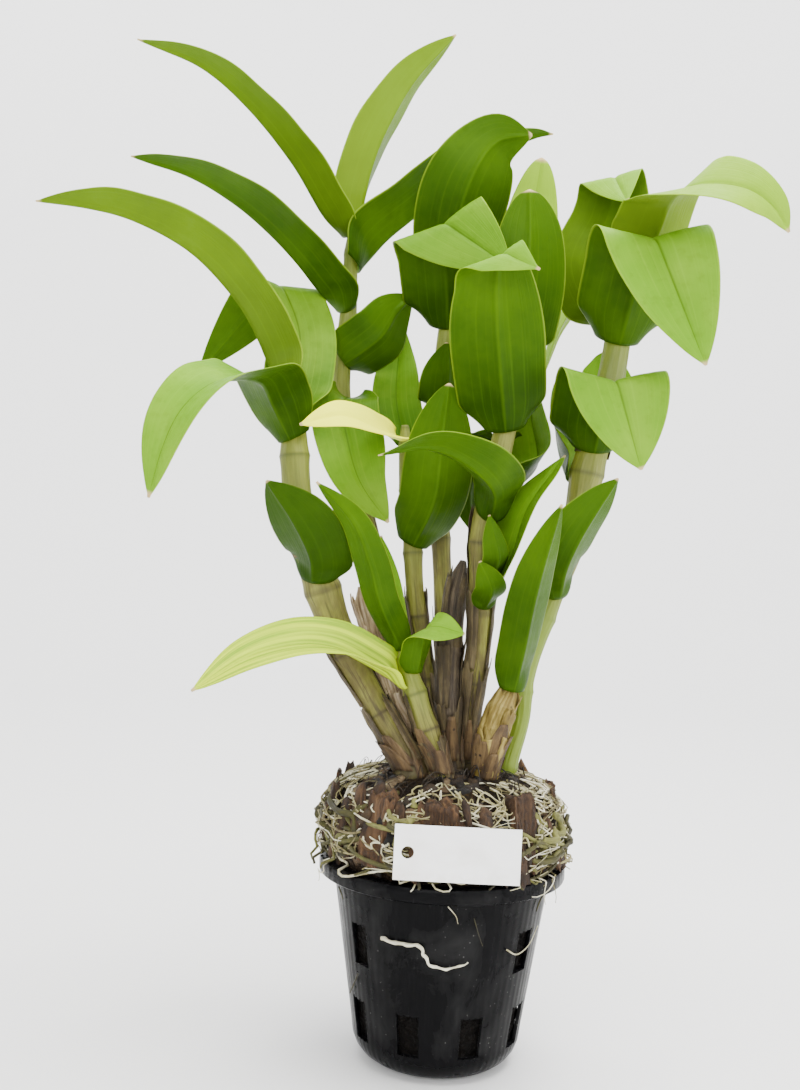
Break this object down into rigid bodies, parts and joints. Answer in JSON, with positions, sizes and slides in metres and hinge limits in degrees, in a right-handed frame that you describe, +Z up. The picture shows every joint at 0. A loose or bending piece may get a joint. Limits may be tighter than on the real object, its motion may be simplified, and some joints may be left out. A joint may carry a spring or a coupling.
{
  "type": "potted dendrobium orchid",
  "caption": "Leafy dendrobium orchid with jointed canes and folded strap leaves, its root ball standing proud of a slotted black plastic pot, with a bare label.",
  "frame": {"origin": "centre of the pot's underside", "axes": "+Z up the plant, -Y towards the viewer, +X to the viewer's right"},
  "size_m": [0.2857, 0.1368, 0.4215],
  "materials": {
    "pot_plastic": "satin black",
    "potting_mix": "rough dark bark mix",
    "bark": "rough reddish brown",
    "olive_root": "dull",
    "pale_root": "dull",
    "label_card": "matte white",
    "cane": "satin olive",
    "dry_sheath": "papery",
    "leaf": "satin green",
    "pale_leaf": "satin pale yellow"
  },
  "bodies": {
    "root": {"pot": "pot_plastic", "root_ball": "potting_mix", "bark_1": "bark", "bark_2": "bark", "bark_3": "bark", "bark_4": "bark", "bark_5": "bark", "roots_olive": "olive_root", "roots_pale": "pale_root", "root_on_pot": "pale_root", "label_card": "label_card", "cane_front_left": "cane", "cane_rear_left": "cane", "cane_front_short": "cane", "cane_middle": "cane", "cane_centre_right": "cane", "cane_rear_centre": "cane", "cane_right_tall": "cane", "cane_new_shoot": "cane", "cane_papery_stub": "dry_sheath", "cane_dry_old": "dry_sheath", "leaf_a1": "leaf", "leaf_a2": "leaf", "leaf_a3": "leaf", "leaf_a4": "leaf", "leaf_b1": "leaf", "leaf_b2": "leaf", "leaf_b3": "leaf", "leaf_b4": "leaf", "leaf_b5": "leaf", "leaf_c1": "leaf", "leaf_c2": "leaf", "leaf_c3": "leaf", "leaf_e1": "leaf", "leaf_e2": "leaf", "leaf_e3": "pale_leaf", "leaf_e4": "leaf", "leaf_e5": "leaf", "leaf_i2": "leaf", "leaf_i3": "leaf", "leaf_h1": "leaf", "leaf_h2": "leaf", "leaf_f1": "leaf", "leaf_f2": "leaf", "leaf_f3": "leaf", "leaf_f4": "leaf", "leaf_k1": "leaf", "leaf_k2": "leaf", "leaf_k3": "leaf", "leaf_k4": "leaf", "leaf_k5": "leaf", "leaf_k6": "leaf", "leaf_g1": "leaf", "leaf_g2": "leaf", "leaf_g3": "leaf", "leaf_g4": "leaf", "leaf_g5": "leaf", "leaf_l1": "leaf", "leaf_l2": "leaf"}
  },
  "joints": []
}
